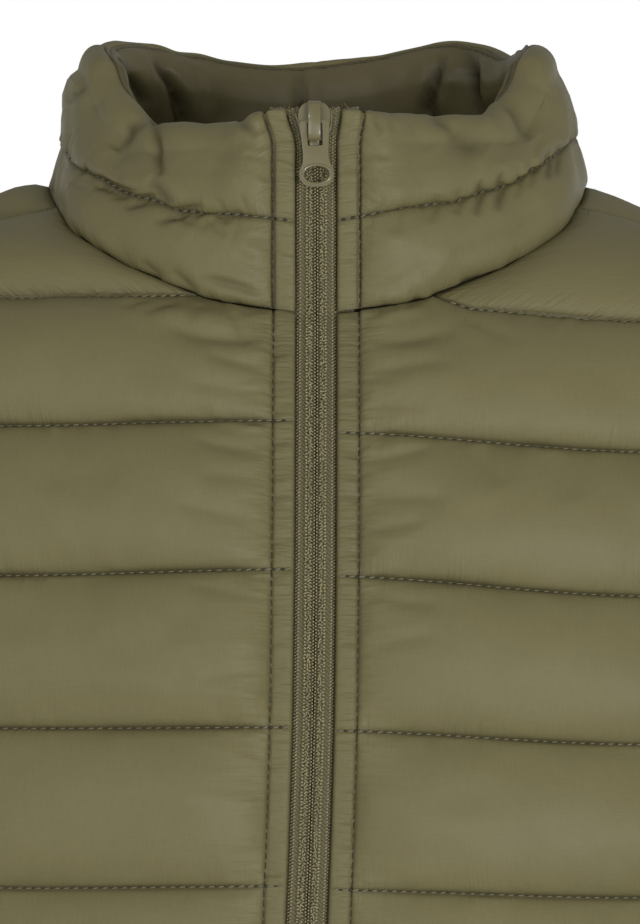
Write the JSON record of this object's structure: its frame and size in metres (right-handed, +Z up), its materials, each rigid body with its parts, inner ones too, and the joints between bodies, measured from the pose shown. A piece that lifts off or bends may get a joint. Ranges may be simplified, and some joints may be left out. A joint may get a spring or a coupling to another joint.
{
  "type": "quilted long coat",
  "caption": "Knee-length quilted coat with a stand collar, long set-in sleeves and a full front zip, hollow and filled out as worn.",
  "frame": {"origin": "middle of the neck at the height of the high shoulder points, where the wearer's neck and shoulders carry the coat", "axes": "+Z up along the coat's length, -Y is the front with the zip, +X is the viewer's right seen from the front"},
  "size_m": [0.8454, 0.3055, 1.0945],
  "materials": {
    "shell": "olive green padded nylon with a soft satin sheen",
    "facing": "smooth olive green nylon, unpadded",
    "zip_tape": "woven olive green tape, matt",
    "zip_coil": "moulded olive green coil",
    "zip_hardware": "olive green enamel, satin"
  },
  "bodies": {
    "coat": {"front_left": "shell", "front_right": "shell", "back": "shell", "sleeve_left": "shell", "sleeve_right": "shell", "collar": "shell", "collar_facing": "facing", "zip_tape_left": "zip_tape", "zip_tape_right": "zip_tape", "zip_chain": "zip_coil", "zip_slider": "zip_hardware", "zip_box": "zip_hardware"},
    "zip_pull": {"zip_pull": "zip_hardware"}
  },
  "joints": [
    {"name": "pull_swing", "type": "hinge", "parent": "coat", "child": "zip_pull", "pos_m": [0, -0.07656, 0.02012], "axis": [-1, 0, 0], "range_deg": [0, 150]}
  ]
}
